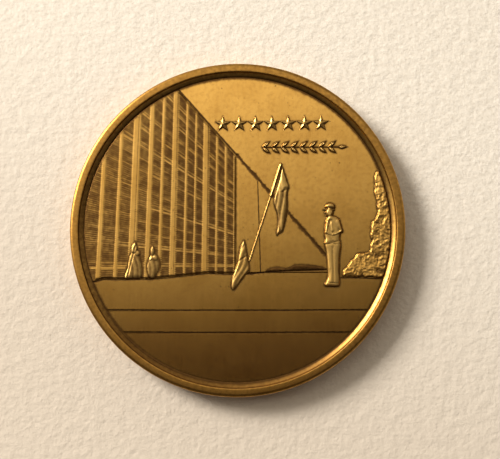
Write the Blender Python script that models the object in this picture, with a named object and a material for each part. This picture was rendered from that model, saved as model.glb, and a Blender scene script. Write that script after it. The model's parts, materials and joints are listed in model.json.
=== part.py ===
"""A die-struck bronze challenge coin: a planchet with a raised rim on both faces, and its raised devices.

The obverse shows an engraved memorial wall in perspective, a leaning flagpole with two furled flags, a
standing guard, two draped visitors, shrubs, a row of stars and a laurel sprig. The reverse holds a plain
wreath and star. Lengths are in millimetres until make_object turns them into metres. The origin is the
centre of the reverse rim plane, +Z runs out of the obverse and +Y is the top of the design.
"""

import math

import bmesh
import bpy
from mathutils import Vector
from mathutils.geometry import delaunay_2d_cdt

# Driving dimensions
COIN_DIAMETER = 39.7
COIN_THICKNESS = 3.2
RIM_WIDTH = 1.0
RIM_RISE = 0.6
DEVICE_RISE = 0.45

# Everything below follows from the driving dimensions
METRE = 0.001
DESIGN_DIAMETER = 39.7
SCALE = COIN_DIAMETER / DESIGN_DIAMETER
COIN_RADIUS = COIN_DIAMETER / 2
EDGE_ROUND = 0.3 * SCALE
WALL_RUN = 0.6 * SCALE
FIELD_RADIUS = COIN_RADIUS - RIM_WIDTH - WALL_RUN
OBVERSE_FIELD = COIN_THICKNESS - RIM_RISE
REVERSE_FIELD = RIM_RISE
SEAT_GAP = 0.015
DEVICE_RADIUS = FIELD_RADIUS - 0.08 * SCALE
EDGE_RISE = 0.15 * DEVICE_RISE
GROOVE_WIDTH = 0.24 * SCALE
GROOVE_DEPTH = 0.1 * SCALE
COIN_SEGMENTS = 160
ROUND_STEPS = 4
MERGE_WITHIN = 0.002

# Engraved wall: the left and right edge of each sunk column where it crosses LEAN_LEVEL
COLUMNS = (
    (-19.00, -16.56),
    (-16.00, -14.50),
    (-14.05, -12.84),
    (-11.90, -10.87),
    (-10.27, -9.31),
    (-8.90, -7.97),
    (-7.20, -6.34),
    (-6.00, -5.18),
    (-4.90, -4.17),
    (-3.36, -2.60),
    (-2.27, -1.52),
    (-1.18, -0.44),
)
LEAN_LEVEL = -1.1
LEAN_RATE = 0.0026
WALL_RISE = 0.38 * DEVICE_RISE
COLUMN_RISE = 0.21 * DEVICE_RISE
COLUMN_DRAFT = 0.07
ROOF_APEX = (-7.03, 16.76)
ROOF_SLOPE = -1.143
WALL_END = -0.1


def scaled(points):
    """The drawing's points at the size of this coin."""
    return [(x * SCALE, y * SCALE) for x, y in points]


def roof_height(x):
    """Where the wall's sloping roofline is, above a point x of the drawing."""
    return ROOF_APEX[1] + ROOF_SLOPE * (x - ROOF_APEX[0])


def arc(radius, start, stop, steps):
    """Points along a circle about the coin's centre, from one angle to another in degrees."""
    angles = [math.radians(start + (stop - start) * i / steps) for i in range(steps + 1)]
    return [(radius * math.cos(a), radius * math.sin(a)) for a in angles]


def polar_degrees(x, y):
    """The angle of a point about the coin's centre, in degrees."""
    return math.degrees(math.atan2(y, x))


def oval(centre, half_width, half_height, turn=0.0, steps=14):
    """An oval outline, turned by an angle in degrees."""
    c = math.cos(math.radians(turn))
    s = math.sin(math.radians(turn))
    points = []
    for i in range(steps):
        a = math.tau * i / steps
        u = half_width * math.cos(a)
        v = half_height * math.sin(a)
        points.append((centre[0] + u * c - v * s, centre[1] + u * s + v * c))
    return points


def bar(start, stop, start_width, stop_width):
    """A straight tapered strip between two points."""
    along = Vector(stop) - Vector(start)
    side = Vector((-along.y, along.x)).normalized()
    a = Vector(start)
    b = Vector(stop)
    corners = (
        a + side * start_width / 2,
        a - side * start_width / 2,
        b - side * stop_width / 2,
        b + side * stop_width / 2,
    )
    return [(p.x, p.y) for p in corners]


def star(centre, radius):
    """A five-pointed star with one point up."""
    inner = 0.42 * radius
    points = []
    for i in range(10):
        a = math.pi / 2 + math.pi * i / 5
        r = inner if i % 2 else radius
        points.append((centre[0] + r * math.cos(a), centre[1] + r * math.sin(a)))
    return points


def leaf(base, angle, length, width):
    """A pointed leaf from its base, and the line of its midrib."""
    half = ((0.0, 0.12), (0.2, 0.75), (0.42, 1.0), (0.7, 0.72), (1.0, 0.0))
    c = math.cos(math.radians(angle))
    s = math.sin(math.radians(angle))

    def place(u, v):
        return (base[0] + u * c - v * s, base[1] + u * s + v * c)

    upper = [place(u * length, v * width / 2) for u, v in half]
    lower = [place(u * length, -v * width / 2) for u, v in reversed(half[:-1])]
    rib = [place(u * length, 0.0) for u in (0.1, 0.4, 0.7, 0.9)]
    return upper + lower, rib


def inside(point, outline):
    """Whether a point is inside a closed outline."""
    x, y = point
    found = False
    for (ax, ay), (bx, by) in zip(outline, outline[1:] + outline[:1]):
        if (ay > y) != (by > y) and x < (bx - ax) * (y - ay) / (by - ay) + ax:
            found = not found
    return found


def edge_distance(point, outline):
    """How far a point is from the nearest side of a closed outline."""
    x, y = point
    best = math.inf
    for (ax, ay), (bx, by) in zip(outline, outline[1:] + outline[:1]):
        dx = bx - ax
        dy = by - ay
        share = ((x - ax) * dx + (y - ay) * dy) / (dx * dx + dy * dy)
        share = min(1.0, max(0.0, share))
        best = min(best, math.hypot(x - ax - share * dx, y - ay - share * dy))
    return best


def grown(outline, margin):
    """An outline moved outwards, for a pocket that clears a device."""
    turning = sum(ax * by - bx * ay for (ax, ay), (bx, by) in zip(outline, outline[1:] + outline[:1]))
    sign = 1.0 if turning > 0 else -1.0
    points = []
    for before, here, after in zip(outline[-1:] + outline[:-1], outline, outline[1:] + outline[:1]):
        first = (Vector(here) - Vector(before)).normalized()
        second = (Vector(after) - Vector(here)).normalized()
        out = Vector((first.y + second.y, -first.x - second.x)) * sign
        reach = margin / max(0.5, out.length / 2)
        moved = Vector(here) + out.normalized() * reach
        points.append((moved.x, moved.y))
    return points


def domed(outline, crown, roll):
    """A height that climbs from the edge of an outline to its crown over the width of the roll."""
    def height(point):
        if not inside(point, outline):
            return EDGE_RISE
        share = min(1.0, edge_distance(point, outline) / roll)
        return EDGE_RISE + (crown - EDGE_RISE) * math.sin(share * math.pi / 2)
    return height


def highest(heights):
    """The tallest of several heights at a point."""
    def height(point):
        return max(one(point) for one in heights)
    return height


def grid_inside(shapes, spacing):
    """Evenly spaced points well inside any of the shapes."""
    found = []
    left = min(x for shape in shapes for x, _ in shape)
    right = max(x for shape in shapes for x, _ in shape)
    low = min(y for shape in shapes for _, y in shape)
    high = max(y for shape in shapes for _, y in shape)
    row_step = spacing * math.sqrt(3) / 2
    for row in range(int((high - low) / row_step) + 1):
        for column in range(int((right - left) / spacing) + 2):
            point = (left + (column + 0.5 * (row % 2)) * spacing, low + row * row_step)
            near = min(edge_distance(point, shape) for shape in shapes)
            if near > 0.4 * spacing and any(inside(point, shape) for shape in shapes):
                found.append(point)
    return found


def finish_colour(name, colour, roughness):
    """A bronze for one piece."""
    material = bpy.data.materials.new(name + "_bronze")
    material.use_nodes = True
    shader = material.node_tree.nodes["Principled BSDF"]
    shader.inputs["Base Color"].default_value = (*colour, 1.0)
    shader.inputs["Roughness"].default_value = roughness
    shader.inputs["Metallic"].default_value = 1.0
    material.diffuse_color = (*colour, 1.0)
    return material


def make_object(name, mesh, colour, roughness, smooth):
    """One named object from a bmesh drawn in millimetres."""
    bmesh.ops.scale(mesh, vec=(METRE, METRE, METRE), verts=mesh.verts)
    bmesh.ops.recalc_face_normals(mesh, faces=mesh.faces)
    data = bpy.data.meshes.new(name)
    mesh.to_mesh(data)
    mesh.free()
    for face in data.polygons:
        face.use_smooth = smooth
    data.materials.append(finish_colour(name, colour, roughness))
    made = bpy.data.objects.new(name, data)
    bpy.context.scene.collection.objects.link(made)
    return made


def relief(name, shapes, height, colour, spacing=0.0, creases=(), pockets=(), reverse=False):
    """A raised device: the union of its shapes in plan, a flat seat, and a top that follows its height."""
    points = []
    edges = []
    for line, closed in [(s, True) for s in (*shapes, *pockets)] + [(c, False) for c in creases]:
        first = len(points)
        points += line
        edges += [(first + i, first + i + 1) for i in range(len(line) - 1)]
        if closed:
            edges.append((len(points) - 1, first))
    if spacing:
        points += grid_inside(shapes, spacing)
    placed, _, triangles, _, _, _ = delaunay_2d_cdt(
        [Vector(p) for p in points], edges, [], 0, MERGE_WITHIN
    )

    def kept(triangle):
        middle = sum((placed[i] for i in triangle), Vector((0.0, 0.0))) / 3
        spot = (middle.x, middle.y)
        return any(inside(spot, s) for s in shapes) and not any(inside(spot, p) for p in pockets)

    seat = REVERSE_FIELD - SEAT_GAP if reverse else OBVERSE_FIELD + SEAT_GAP
    way = -1 if reverse else 1
    mesh = bmesh.new()
    low = {}
    high = {}
    faces = [t for t in triangles if kept(t)]
    for i in {i for t in faces for i in t}:
        x, y = placed[i]
        low[i] = mesh.verts.new((x, y, seat))
        high[i] = mesh.verts.new((x, y, seat + way * height((x, y))))
    used = {}
    for a, b, c in faces:
        mesh.faces.new((high[a], high[b], high[c]))
        mesh.faces.new((low[c], low[b], low[a]))
        for side in ((a, b), (b, c), (c, a)):
            used[frozenset(side)] = None if frozenset(side) in used else side
    for side in used.values():
        if side:
            mesh.faces.new((high[side[1]], high[side[0]], low[side[0]], low[side[1]]))
    return make_object(name, mesh, colour, 0.4, False)


def rim_profile():
    """Radius and height along half of the planchet's section, from the reverse round to the obverse."""
    rim_inner = COIN_RADIUS - RIM_WIDTH
    rim_outer = COIN_RADIUS - EDGE_ROUND
    lower = [(FIELD_RADIUS, REVERSE_FIELD)]
    lower.append((FIELD_RADIUS + 0.12 * WALL_RUN, REVERSE_FIELD - 0.06 * RIM_RISE))
    lower.append((rim_inner - 0.1 * WALL_RUN, 0.07 * RIM_RISE))
    lower.append((rim_inner + 0.05 * WALL_RUN, 0.0))
    for i in range(ROUND_STEPS + 1):
        a = math.pi / 2 * i / ROUND_STEPS
        lower.append((rim_outer + EDGE_ROUND * math.sin(a), EDGE_ROUND * (1 - math.cos(a))))
    upper = [(r, COIN_THICKNESS - z) for r, z in reversed(lower)]
    return lower + upper


def add_planchet():
    """The round blank with its rims and both fields."""
    mesh = bmesh.new()
    rings = []
    for radius, z in rim_profile():
        ring = []
        for i in range(COIN_SEGMENTS):
            a = math.tau * i / COIN_SEGMENTS
            ring.append(mesh.verts.new((radius * math.cos(a), radius * math.sin(a), z)))
        rings.append(ring)
    for lower, upper in zip(rings, rings[1:]):
        for i in range(COIN_SEGMENTS):
            j = (i + 1) % COIN_SEGMENTS
            mesh.faces.new((lower[i], lower[j], upper[j], upper[i]))
    mesh.faces.new(list(reversed(rings[0])))
    mesh.faces.new(rings[-1])
    return make_object("planchet", mesh, (0.50, 0.33, 0.13), 0.38, False)


def shade_round_sides(planchet):
    """Smooth shading round the rim, with both fields left flat."""
    for face in planchet.data.polygons:
        face.use_smooth = len(face.vertices) == 4


def cut_groove(planchet, name, points):
    """A V-shaped line sunk into the obverse field."""
    line = [Vector(p) for p in scaled(points)]
    mesh = bmesh.new()
    sections = []
    for i, here in enumerate(line):
        before = line[max(0, i - 1)]
        after = line[min(len(line) - 1, i + 1)]
        along = (after - before).normalized()
        side = Vector((-along.y, along.x)) * GROOVE_WIDTH
        rise = GROOVE_DEPTH
        left = mesh.verts.new((here.x + side.x, here.y + side.y, OBVERSE_FIELD + rise))
        right = mesh.verts.new((here.x - side.x, here.y - side.y, OBVERSE_FIELD + rise))
        deep = mesh.verts.new((here.x, here.y, OBVERSE_FIELD - GROOVE_DEPTH))
        sections.append((left, right, deep))
    for first, second in zip(sections, sections[1:]):
        for i in range(3):
            j = (i + 1) % 3
            mesh.faces.new((first[i], first[j], second[j], second[i]))
    mesh.faces.new(sections[0])
    mesh.faces.new(sections[-1])
    cutter = make_object(name + "_cutter", mesh, (0.3, 0.3, 0.3), 0.5, False)
    cutter.hide_render = True
    cutter.display_type = "WIRE"
    groove = planchet.modifiers.new(name, "BOOLEAN")
    groove.operation = "DIFFERENCE"
    groove.solver = "EXACT"
    groove.object = cutter


def cut_grooves(planchet):
    """The roofline, the joint in the end wall, the ground line and the two steps."""
    cut_groove(planchet, "roofline", [(x, roof_height(x)) for x in (0.15, 10.3)])
    cut_groove(planchet, "wall_joint", [(2.42, 5.1), (2.78, -4.75)])
    ground = [
        (-16.8, -6.4),
        (-15.4, -6.15),
        (-12.0, -6.2),
        (-8.6, -6.05),
        (-3.5, -5.6),
        (1.7, -5.5),
        (3.9, -5.3),
        (10.6, -5.2),
    ]
    cut_groove(planchet, "ground_line", ground)
    cut_groove(planchet, "shrub_line", [(12.4, -6.15), (16.6, -6.3)])
    for name, level in (("first_step", -9.7), ("second_step", -12.3)):
        reach = math.sqrt((DEVICE_RADIUS / SCALE) ** 2 - level**2) - 0.1
        cut_groove(planchet, name, [(-reach, level), (reach, level)])


def column_edge(x, y):
    """Where the upright edge that passes x at LEAN_LEVEL is at height y: all of them lean inwards."""
    return x + LEAN_RATE * abs(x) * (y - LEAN_LEVEL)


def add_wall_panels(pockets):
    """The engraved memorial wall, with its sunk columns between upright bars."""
    foot = [
        (WALL_END, -5.3),
        (-3.5, -5.25),
        (-7.3, -5.65),
        (-11.0, -5.85),
        (-15.8, -5.8),
    ]
    corner = polar_degrees(-17.1, -6.15) + 360.0
    apex = polar_degrees(*ROOF_APEX)
    outline = scaled([(WALL_END, roof_height(WALL_END))])
    outline += arc(DEVICE_RADIUS, apex, corner, 20)
    outline += list(reversed(scaled(foot)))
    creases = []
    for left, right in COLUMNS:
        for x in (left, left + COLUMN_DRAFT, right - COLUMN_DRAFT, right):
            creases.append(scaled([(column_edge(x, -7.0), -7.0), (column_edge(x, 18.0), 18.0)]))

    def height(point):
        x = point[0] / SCALE
        y = point[1] / SCALE
        sunk = 0.0
        for left, right in COLUMNS:
            depth = min(x - column_edge(left, y), column_edge(right, y) - x)
            sunk = max(sunk, min(1.0, depth / COLUMN_DRAFT))
        return WALL_RISE + (COLUMN_RISE - WALL_RISE) * sunk

    return relief("wall_panels", [outline], height, (0.40, 0.27, 0.12), 0.0, creases, pockets)


def guard_parts():
    """Outline, crown and roll of each part of the guard, who is seen from behind with hands clasped."""
    cap = [(10.5, 2.85), (10.12, 2.45), (10.1, 2.1), (11.55, 2.0), (11.62, 2.6), (11.35, 3.0), (10.8, 3.05)]
    head = oval((10.9, 1.75), 0.62, 0.62)
    coat = [
        (10.7, 1.4),
        (10.4, 0.8),
        (10.2, 0.0),
        (10.2, -0.7),
        (10.35, -1.9),
        (12.25, -1.9),
        (12.3, -1.1),
        (12.4, 0.3),
        (12.2, 1.0),
        (11.5, 1.45),
    ]
    arm = [
        (12.05, 1.0),
        (12.45, 0.5),
        (12.65, -0.3),
        (12.55, -0.95),
        (11.5, -0.95),
        (11.3, -0.6),
        (11.9, -0.2),
    ]
    left_leg = [(10.45, -1.7), (10.55, -3.9), (10.6, -6.2), (11.25, -6.3), (11.4, -1.7)]
    right_leg = [(11.2, -1.7), (11.15, -6.3), (12.1, -6.4), (12.15, -4.0), (12.22, -1.7)]
    left_shoe = [(10.25, -6.75), (10.5, -6.1), (11.3, -6.1), (11.25, -6.95), (10.6, -6.95)]
    right_shoe = [(11.05, -6.2), (12.15, -6.2), (12.2, -6.6), (11.9, -7.02), (11.0, -6.98)]
    return (
        (cap, 1.0, 0.3),
        (head, 0.86, 0.35),
        (coat, 0.9, 0.6),
        (arm, 1.0, 0.3),
        (left_leg, 0.8, 0.3),
        (right_leg, 0.84, 0.3),
        (left_shoe, 0.7, 0.2),
        (right_shoe, 0.74, 0.2),
    )


def add_figure(name, parts, colour, spacing):
    """A figure made of rounded parts that merge."""
    shapes = [scaled(outline) for outline, _, _ in parts]
    heights = [domed(scaled(o), DEVICE_RISE * crown, roll * SCALE) for o, crown, roll in parts]
    return relief(name, shapes, highest(heights), colour, spacing * SCALE)


def left_visitor_parts():
    """The taller of the two draped visitors at the foot of the wall: hood, cloak and its front fold."""
    hood = [(-12.1, -1.45), (-11.8, -1.8), (-11.7, -2.5), (-12.0, -3.1), (-12.7, -3.1), (-12.6, -2.3)]
    cloak = [
        (-12.5, -2.6),
        (-11.6, -2.8),
        (-11.25, -3.6),
        (-11.15, -4.8),
        (-11.3, -5.9),
        (-13.35, -5.95),
        (-13.0, -4.2),
        (-12.8, -3.1),
    ]
    return ((hood, 0.9, 0.3), (cloak, 0.8, 0.5))


def right_visitor_parts():
    """The shorter draped visitor: hood and cloak."""
    hood = [(-10.0, -1.9), (-9.75, -2.2), (-9.6, -2.9), (-9.85, -3.4), (-10.3, -3.3), (-10.35, -2.6)]
    cloak = [
        (-10.35, -3.0),
        (-9.6, -3.0),
        (-9.15, -3.6),
        (-9.0, -4.4),
        (-9.35, -5.3),
        (-9.75, -5.9),
        (-10.35, -5.9),
        (-10.7, -5.1),
        (-10.72, -4.1),
    ]
    return ((hood, 0.9, 0.25), (cloak, 0.8, 0.45))


def hanging_flag_outline():
    """The furled flag that hangs from the top of the pole."""
    return [
        (5.42, 7.45),
        (5.75, 6.5),
        (6.22, 4.95),
        (6.0, 4.2),
        (6.0, 2.0),
        (5.45, -0.4),
        (4.8, -0.95),
        (4.62, -0.6),
        (4.78, 1.4),
        (4.32, 2.8),
        (4.4, 3.9),
        (4.62, 4.8),
    ]


def leaning_flag_outline():
    """The furled flag at the foot of the pole."""
    return [
        (0.85, -1.35),
        (1.1, -2.0),
        (1.3, -3.5),
        (1.5, -5.2),
        (0.95, -5.7),
        (-0.35, -7.35),
        (-0.68, -7.0),
        (-0.62, -5.9),
        (-0.1, -4.5),
        (0.2, -2.7),
        (0.55, -1.7),
    ]


def add_flag(name, outline, folds, colour):
    """A furled flag with lengthwise folds."""
    shape = scaled(outline)
    body = domed(shape, DEVICE_RISE * 0.8, 0.4 * SCALE)

    def height(point):
        fold = math.cos(math.tau * (point[0] - 0.25 * point[1]) / folds)
        return max(EDGE_RISE, body(point) * (0.88 + 0.12 * fold))

    return relief(name, [shape], height, colour, 0.3 * SCALE)


def pole_outline():
    """The leaning pole in one run, thicker above the middle joint."""
    top = (5.22, 7.75)
    joint = (3.98, 3.85)
    foot = (1.42, -3.1)
    upper = bar(joint, top, 0.3, 0.34)
    lower = bar(foot, (4.06, 4.1), 0.2, 0.22)
    return scaled(upper), scaled(lower)


def add_flag_pole():
    """The flagpole, ridged along its length."""
    shapes = pole_outline()
    heights = [domed(s, DEVICE_RISE * crown, 0.1 * SCALE) for s, crown in zip(shapes, (0.95, 0.6))]
    ridges = [
        scaled([(4.03, 4.0), (5.17, 7.6)]),
        scaled([(1.48, -2.95), (4.0, 3.95)]),
    ]
    return relief("flag_pole", shapes, highest(heights), (0.62, 0.43, 0.19), 0.0, ridges)


def shrub_height(point):
    """The rough, nugget-like surface of the shrubs."""
    x = point[0] / SCALE
    y = point[1] / SCALE
    lumps = math.sin(5.3 * x + 1.7 * math.sin(3.1 * y)) * math.sin(4.7 * y + 1.9 * math.sin(2.9 * x))
    return DEVICE_RISE * (0.6 + 0.22 * lumps)


def add_shrubbery():
    """The mass of shrubs against the rim on the right."""
    left = [
        (16.6, 6.8),
        (16.2, 6.2),
        (16.25, 4.2),
        (16.55, 3.2),
        (16.6, 2.1),
        (16.4, 1.1),
        (15.8, 0.7),
        (15.7, -0.9),
        (15.65, -2.7),
        (14.2, -3.1),
        (12.9, -4.5),
        (12.4, -5.1),
        (12.4, -5.7),
    ]
    start = polar_degrees(17.0, -5.9)
    stop = polar_degrees(16.6, 6.8)
    outline = arc(DEVICE_RADIUS, start, stop, 12)[:-1] + scaled(left)
    return relief("shrubbery", [outline], shrub_height, (0.38, 0.26, 0.12), 0.33 * SCALE)


def add_hedge_strip():
    """The low scrub along the ground line in front of the end wall."""
    outline = scaled(
        [
            (3.6, -5.0),
            (3.9, -4.7),
            (4.8, -4.5),
            (5.7, -4.75),
            (6.9, -4.35),
            (8.2, -4.3),
            (9.6, -4.5),
            (9.95, -4.95),
        ]
    )

    def height(point):
        return 0.6 * shrub_height(point)

    return relief("hedge_strip", [outline], height, (0.36, 0.25, 0.11), 0.3 * SCALE)


def add_star(name, centre, radius, reverse=False):
    """A raised star with a ridge to every point."""
    outline = star(centre, radius)
    creases = [[centre, tip] for tip in outline]
    crown = DEVICE_RISE * 0.85

    def height(point):
        away = math.hypot(point[0] - centre[0], point[1] - centre[1])
        return EDGE_RISE + (crown - EDGE_RISE) * (1.0 - min(1.0, away / radius))

    return relief(name, [outline], height, (0.58, 0.40, 0.17), 0.0, creases, (), reverse)


def add_star_row():
    """Seven equal stars in a line above the roofline."""
    count = 7
    first = (-1.7, 12.55)
    pitch = 1.95
    for i in range(count):
        centre = ((first[0] + pitch * i) * SCALE, first[1] * SCALE)
        add_star(f"star_{i + 1}", centre, 0.98 * SCALE)


def leafy_branch(line, pairs, length, width, spread, stem):
    """Shapes and midribs of a branch: a stem along a line of points, leaves in pairs, and one at the tip."""
    shapes = []
    ribs = []
    for i, (a, b) in enumerate(zip(line, line[1:])):
        reach = (Vector(b) - Vector(a)).normalized() * stem * 0.4
        end = (b[0] + reach.x, b[1] + reach.y)
        shapes.append(bar(a, end, stem, stem))
        if i >= pairs:
            continue
        angle = math.degrees(math.atan2(b[1] - a[1], b[0] - a[0]))
        for side in (1, -1):
            outline, rib = leaf(a, angle + side * spread, length, width)
            shapes.append(outline)
            ribs.append(rib)
    last = math.degrees(math.atan2(line[-1][1] - line[-2][1], line[-1][0] - line[-2][0]))
    outline, rib = leaf(line[-1], last, length, width)
    shapes.append(outline)
    ribs.append(rib)
    return shapes, ribs


def leaf_height(ribs, width):
    """Leaves are tallest along their midribs."""
    def height(point):
        pieces = [(start, stop) for rib in ribs for start, stop in zip(rib, rib[1:])]
        nearest = min(edge_distance(point, list(piece)) for piece in pieces)
        share = max(0.0, 1.0 - nearest / (0.55 * width))
        return EDGE_RISE + (0.7 * DEVICE_RISE - EDGE_RISE) * share
    return height


def add_laurel_sprig():
    """A sprig laid level below the stars."""
    count = 8
    width = 0.5 * SCALE
    line = scaled([(3.0 + 1.12 * i, 9.7) for i in range(count + 1)])
    shapes, ribs = leafy_branch(line, count, 1.25 * SCALE, width, 38.0, 0.2 * SCALE)
    return relief("laurel_sprig", shapes, leaf_height(ribs, width), (0.58, 0.40, 0.17), 0.0, ribs)


def add_wreath_half(name, mirror):
    """Half of the wreath on the reverse, from the foot of the design up one side."""
    count = 9
    width = 1.5 * SCALE
    line = arc(12.2 * SCALE, 263.0, 113.0, count + 1)
    if mirror:
        line = [(-x, y) for x, y in line]
    shapes, ribs = leafy_branch(line, count + 1, 3.9 * SCALE, width, 33.0, 0.55 * SCALE)
    return relief(name, shapes, leaf_height(ribs, width), (0.55, 0.38, 0.16), 0.0, ribs, (), True)


def build():
    """The whole coin."""
    for old in list(bpy.data.objects):
        bpy.data.objects.remove(old, do_unlink=True)
    clearance = 0.03 * SCALE
    visitors = left_visitor_parts() + right_visitor_parts()
    pockets = [grown(scaled(outline), clearance) for outline, _, _ in visitors]
    pockets.append(grown(scaled(leaning_flag_outline()), clearance))
    planchet = add_planchet()
    shade_round_sides(planchet)
    cut_grooves(planchet)
    add_wall_panels(pockets)
    add_figure("standing_guard", guard_parts(), (0.45, 0.30, 0.13), 0.34)
    add_figure("draped_visitor_left", left_visitor_parts(), (0.50, 0.34, 0.15), 0.34)
    add_figure("draped_visitor_right", right_visitor_parts(), (0.50, 0.34, 0.15), 0.34)
    add_flag_pole()
    add_flag("hanging_flag", hanging_flag_outline(), 0.75, (0.50, 0.34, 0.15))
    add_flag("leaning_flag", leaning_flag_outline(), 0.75, (0.50, 0.34, 0.15))
    add_shrubbery()
    add_hedge_strip()
    add_star_row()
    add_laurel_sprig()
    add_wreath_half("reverse_wreath_left", False)
    add_wreath_half("reverse_wreath_right", True)
    add_star("reverse_star", (0.0, 0.0), 5.2 * SCALE, True)


build()
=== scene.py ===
"""Looks for the die-struck bronze challenge coin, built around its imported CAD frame.

Each face of the coin is one continuous relief surface. It is computed as a height over the field and is
then shared out: every triangle belongs to the device it lies on, or to the planchet. Lengths are
millimetres on the drawing of the coin until put_object scales them to the frame.
"""

import math

import bmesh
import bpy
import numpy as np
from mathutils import Matrix, Vector
from mathutils.geometry import delaunay_2d_cdt
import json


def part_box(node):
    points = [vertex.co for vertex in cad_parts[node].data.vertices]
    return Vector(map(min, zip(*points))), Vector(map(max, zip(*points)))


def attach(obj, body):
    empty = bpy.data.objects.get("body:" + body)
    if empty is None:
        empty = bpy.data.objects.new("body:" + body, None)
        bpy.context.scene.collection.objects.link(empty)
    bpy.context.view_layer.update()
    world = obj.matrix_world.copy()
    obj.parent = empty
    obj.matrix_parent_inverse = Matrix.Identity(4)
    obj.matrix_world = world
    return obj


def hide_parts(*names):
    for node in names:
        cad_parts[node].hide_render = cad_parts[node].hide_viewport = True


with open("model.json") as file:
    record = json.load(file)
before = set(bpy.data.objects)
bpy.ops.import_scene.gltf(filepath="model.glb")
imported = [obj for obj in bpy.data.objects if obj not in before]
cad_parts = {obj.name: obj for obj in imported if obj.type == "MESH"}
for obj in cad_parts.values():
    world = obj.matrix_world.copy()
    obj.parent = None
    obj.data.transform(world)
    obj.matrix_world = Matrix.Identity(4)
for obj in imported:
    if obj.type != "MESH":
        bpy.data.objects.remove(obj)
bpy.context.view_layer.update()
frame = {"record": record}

# The drawing's own radius, and the frame's, give the scale from drawing to frame. SEAT_GAP is how far the
# frame's devices stand off their field.
DRAWN_RADIUS = 19.85
PLANCHET_LOW, PLANCHET_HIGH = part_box("planchet")
UNIT = (PLANCHET_HIGH[0] - PLANCHET_LOW[0]) / 2 / DRAWN_RADIUS
TOP = (PLANCHET_HIGH[2] - PLANCHET_LOW[2]) / UNIT
SEAT_GAP = 0.015
OBVERSE_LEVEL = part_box("star_1")[0][2] / UNIT - SEAT_GAP
REVERSE_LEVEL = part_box("reverse_star")[1][2] / UNIT + SEAT_GAP
RIM_INNER = DRAWN_RADIUS - 1.0
WALL_RUN = 0.6
FIELD_RADIUS = RIM_INNER - WALL_RUN
RING_STEPS = 512
RING_ANGLES = np.arange(RING_STEPS) / RING_STEPS * math.tau

# Relief, above the field
WALL_RISE = 0.17
COLUMN_SINK = 0.015
PIT_FLOOR = -0.06
DEVICE_FLOOR = -0.05
SUNK = -0.1
BLEND = 0.03

# Meshing: the gap left at the field's edge, the reach past a device's outline, and a distance for "not near"
EDGE_GAP = 0.03
BOX_MARGIN = 0.7
OUTSIDE = 9.0

# The vanishing point that the wall's courses run to, their height, and each column's shift against the last
VANISH = (11.9, -4.6)
COURSE = 0.255
COURSE_SHIFT = 0.37
ROOF_APEX = (-7.03, 16.76)
ROOF_SLOPE = -1.143
WALL_END = -0.1
LEAN_LEVEL = -1.1
LEAN_RATE = 0.0026
COLUMNS = (
    (-19.00, -16.56), (-16.00, -14.50), (-14.05, -12.84), (-11.90, -10.87), (-10.27, -9.31), (-8.90, -7.97),
    (-7.20, -6.34), (-6.00, -5.18), (-4.90, -4.17), (-3.36, -2.60), (-2.27, -1.52), (-1.18, -0.44),
)
BAR_LINES = (-12.2, -7.42, -3.55)


# --- plane geometry, on arrays of points

def smooth(low, high, value):
    """A smooth step from 0 at low to 1 at high."""
    share = np.clip((value - low) / (high - low), 0.0, 1.0)
    return share * share * (3 - 2 * share)


def smooth_max(a, b, reach):
    """The larger of two heights, rounded where they meet."""
    near = np.maximum(reach - np.abs(a - b), 0.0)
    return np.maximum(a, b) + near * near / (4 * reach)


def length_of(p):
    """The length of each row: for points, their distance from the coin's axis."""
    return np.linalg.norm(p, axis=1)


def along_segment(p, a, b):
    """How far along the straight line from a to b each point is, from 0 to 1, and its distance from it."""
    a = np.asarray(a, float)
    along = np.asarray(b, float) - a
    share = np.clip(((p - a) @ along) / (along @ along), 0.0, 1.0)
    return share, length_of(p - a - share[:, None] * along)


def segment_distance(p, a, b):
    """Distance of each point from the straight line between a and b."""
    return along_segment(p, a, b)[1]


def line_distance(p, points):
    """Distance of each point from a line through several points."""
    return np.min([segment_distance(p, a, b) for a, b in zip(points, points[1:])], axis=0)


def polygon_depth(p, points):
    """How deep each point is inside a closed outline: negative outside."""
    loop = list(points) + [points[0]]
    away = line_distance(p, loop)
    x, y = p.T
    inside = np.zeros(len(p), bool)
    for (ax, ay), (bx, by) in zip(loop, loop[1:]):
        if ay == by:
            continue
        crosses = (ay > y) != (by > y)
        inside ^= crosses & (x < (bx - ax) * (y - ay) / (by - ay) + ax)
    return np.where(inside, away, -away)


def oval_depth(p, centre, half_width, half_height, turn=0.0):
    """Roughly how deep each point is inside a turned oval."""
    c, s = math.cos(math.radians(turn)), math.sin(math.radians(turn))
    d = p - np.asarray(centre)
    u = (d[:, 0] * c + d[:, 1] * s) / half_width
    v = (-d[:, 0] * s + d[:, 1] * c) / half_height
    return (1 - np.hypot(u, v)) * min(half_width, half_height)


def bar_depth(p, a, b, width_a, width_b):
    """How deep each point is inside a round-ended bar that tapers from a to b."""
    share, away = along_segment(p, a, b)
    return (width_a + (width_b - width_a) * share) / 2 - away


def curve(points, per_span=4):
    """A closed outline rounded through its points."""
    found = []
    n = len(points)
    for i in range(n):
        p0, p1, p2, p3 = (np.array(points[(i + k - 1) % n]) for k in range(4))
        for t in np.arange(per_span) / per_span:
            spot = 0.5 * (
                2 * p1
                + (p2 - p0) * t
                + (2 * p0 - 5 * p1 + 4 * p2 - p3) * t**2
                + (3 * p1 - p0 - 3 * p2 + p3) * t**3
            )
            found.append(tuple(spot))
    return found


def arc(start, stop, count):
    """Points along the field's edge."""
    return [(FIELD_RADIUS * math.cos(a), FIELD_RADIUS * math.sin(a)) for a in np.linspace(start, stop, count)]


def box_around(points, reach):
    """The low and high corners of a box that goes a little beyond some points."""
    return np.array(points).min(axis=0) - reach, np.array(points).max(axis=0) + reach


def within(p, box):
    """Which points are in a box, by number."""
    return np.flatnonzero(((p > box[0]) & (p < box[1])).all(axis=1))


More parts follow.
